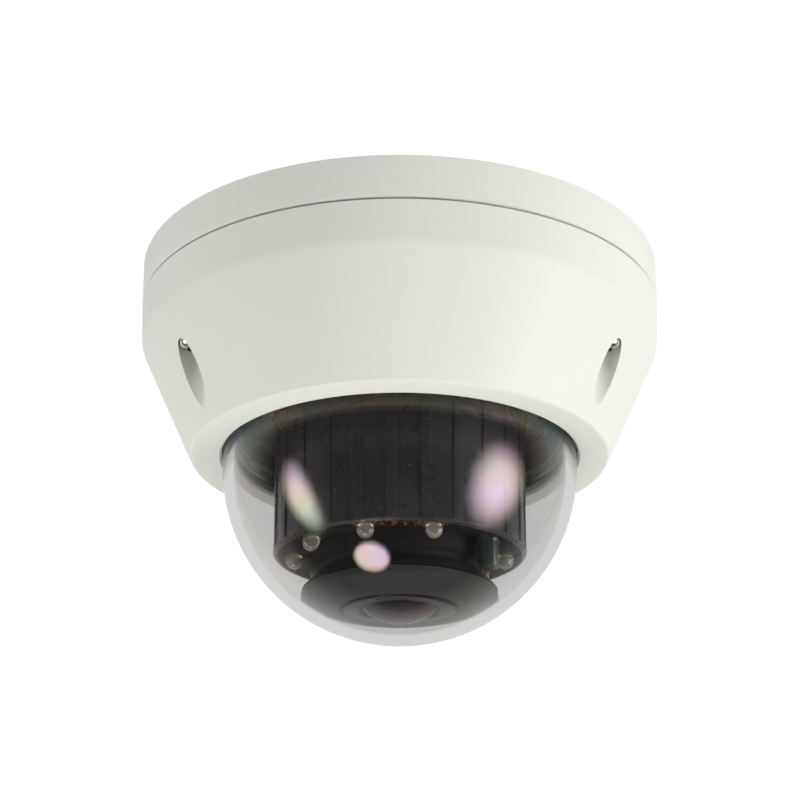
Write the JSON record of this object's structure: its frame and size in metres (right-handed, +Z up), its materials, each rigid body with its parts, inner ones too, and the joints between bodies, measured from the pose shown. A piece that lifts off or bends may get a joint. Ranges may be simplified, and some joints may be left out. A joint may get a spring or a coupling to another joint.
{
  "type": "dome security camera",
  "caption": "Ceiling dome camera: round painted cast base and cover, clear dome bubble, and inside it a black ribbed turning module with a fisheye lens in a ring of infrared lamps.",
  "frame": {"origin": "centre of the flat face of the base that meets the ceiling", "axes": "+Z up through that face, out of the camera towards the ceiling; -Y towards the camera's front; the dome hangs towards -Z"},
  "size_m": [0.146, 0.146, 0.1085],
  "materials": {
    "white_paint": "fine-textured warm light grey powder coat on cast aluminium",
    "black_plastic": "satin black moulding",
    "black_rubber": "matt black",
    "clear_plastic": "clear, hard-coated, with a faint tint in its reflections",
    "lens_glass": "coated optical glass with purple reflections",
    "filter_glass": "pale cyan infrared filter",
    "led_epoxy": "water-clear epoxy",
    "tinted_plastic": "glossy dark green tint",
    "green_board": "green solder mask",
    "gilt_board": "circuit board with a gold-coloured reflecting film",
    "copper_winding": "enamelled copper wire",
    "steel": "bright stainless",
    "zinc_plate": "zinc-plated sheet",
    "black_anodised": "black anodised",
    "silicone_grey": "dark grey silicone",
    "terminal_green": "green",
    "white_nylon": "natural nylon"
  },
  "bodies": {
    "base": {"base_housing": "white_paint", "cable_grommet": "black_rubber", "body_gasket": "silicone_grey", "main_board": "green_board", "board_screw_1": "steel", "board_screw_2": "steel", "network_socket": "steel", "power_terminal": "terminal_green", "processor_heatsink": "black_anodised", "memory_card_socket": "steel", "reset_switch": "black_plastic", "bracket_plate": "zinc_plate", "bracket_screw_1": "steel", "bracket_screw_2": "steel", "bracket_screw_3": "steel", "inner_liner": "black_plastic"},
    "reset_key": {"reset_button": "white_nylon"},
    "cover": {"cover_shell": "white_paint", "dome_bubble": "clear_plastic", "dome_gasket": "black_rubber", "dome_retainer": "black_plastic", "retainer_screw_1": "steel", "retainer_screw_2": "steel", "retainer_screw_3": "steel"},
    "screw_left": {"cover_screw_left": "steel"},
    "screw_right": {"cover_screw_right": "steel"},
    "screw_rear": {"cover_screw_rear": "steel"},
    "module": {"module_housing": "black_plastic", "snap_ring": "zinc_plate", "friction_washer": "white_nylon", "led_board": "gilt_board", "led_board_screw_1": "steel", "led_board_screw_2": "steel", "ir_led_1": "led_epoxy", "ir_led_2": "led_epoxy", "ir_led_3": "led_epoxy", "ir_led_4": "led_epoxy", "ir_led_5": "led_epoxy", "ir_led_6": "led_epoxy", "ir_led_7": "led_epoxy", "ir_led_8": "led_epoxy", "ir_led_9": "led_epoxy", "light_sensor": "tinted_plastic", "led_mask": "black_plastic", "lens_shroud": "black_plastic", "isolation_ring": "black_rubber", "sensor_board": "green_board", "image_sensor": "black_anodised", "lens_mount": "black_plastic", "lens_grub_screw": "steel", "filter_coil": "copper_winding", "lens_barrel": "black_anodised", "lens_rear_element": "lens_glass", "lens_middle_element": "lens_glass", "lens_front_element": "lens_glass", "lens_retaining_ring": "black_anodised"},
    "filter": {"filter_slider": "white_nylon", "ir_cut_glass": "filter_glass", "clear_glass": "lens_glass"},
    "lever": {"filter_lever": "black_anodised"}
  },
  "joints": [
    {"name": "cover_removal", "type": "slide", "parent": "base", "child": "cover", "axis": [0, 0, -1], "range_m": [0, 0.1]},
    {"name": "screw_left_turn", "type": "hinge", "parent": "cover", "child": "screw_left", "pos_m": [-0.0556, -0.0321, 0], "axis": [0, 0, 1], "continuous": true},
    {"name": "screw_right_turn", "type": "hinge", "parent": "cover", "child": "screw_right", "pos_m": [0.0556, -0.0321, 0], "axis": [0, 0, 1], "continuous": true},
    {"name": "screw_rear_turn", "type": "hinge", "parent": "cover", "child": "screw_rear", "pos_m": [0, 0.0642, 0], "axis": [0, 0, 1], "continuous": true},
    {"name": "pan", "type": "hinge", "parent": "base", "child": "module", "pos_m": [0, 0, 0], "axis": [0, 0, 1], "range_deg": [-170, 170]},
    {"name": "reset_press", "type": "slide", "parent": "base", "child": "reset_key", "axis": [0, 0, 1], "range_m": [0, 0.0005], "stiffness_N_per_m": 400, "springref_m": -0.0005},
    {"name": "lever_swing", "type": "hinge", "parent": "module", "child": "lever", "pos_m": [0, 0.016, 0], "axis": [0, 0, -1], "range_deg": [0, 50.4]},
    {"name": "filter_slide", "type": "slide", "parent": "module", "child": "filter", "axis": [-1, 0, 0], "range_m": [0, 0.0085]}
  ],
  "couplings": [
    {"joint": "lever_swing", "follows": "filter_slide", "rad_per_m": 103.28}
  ]
}
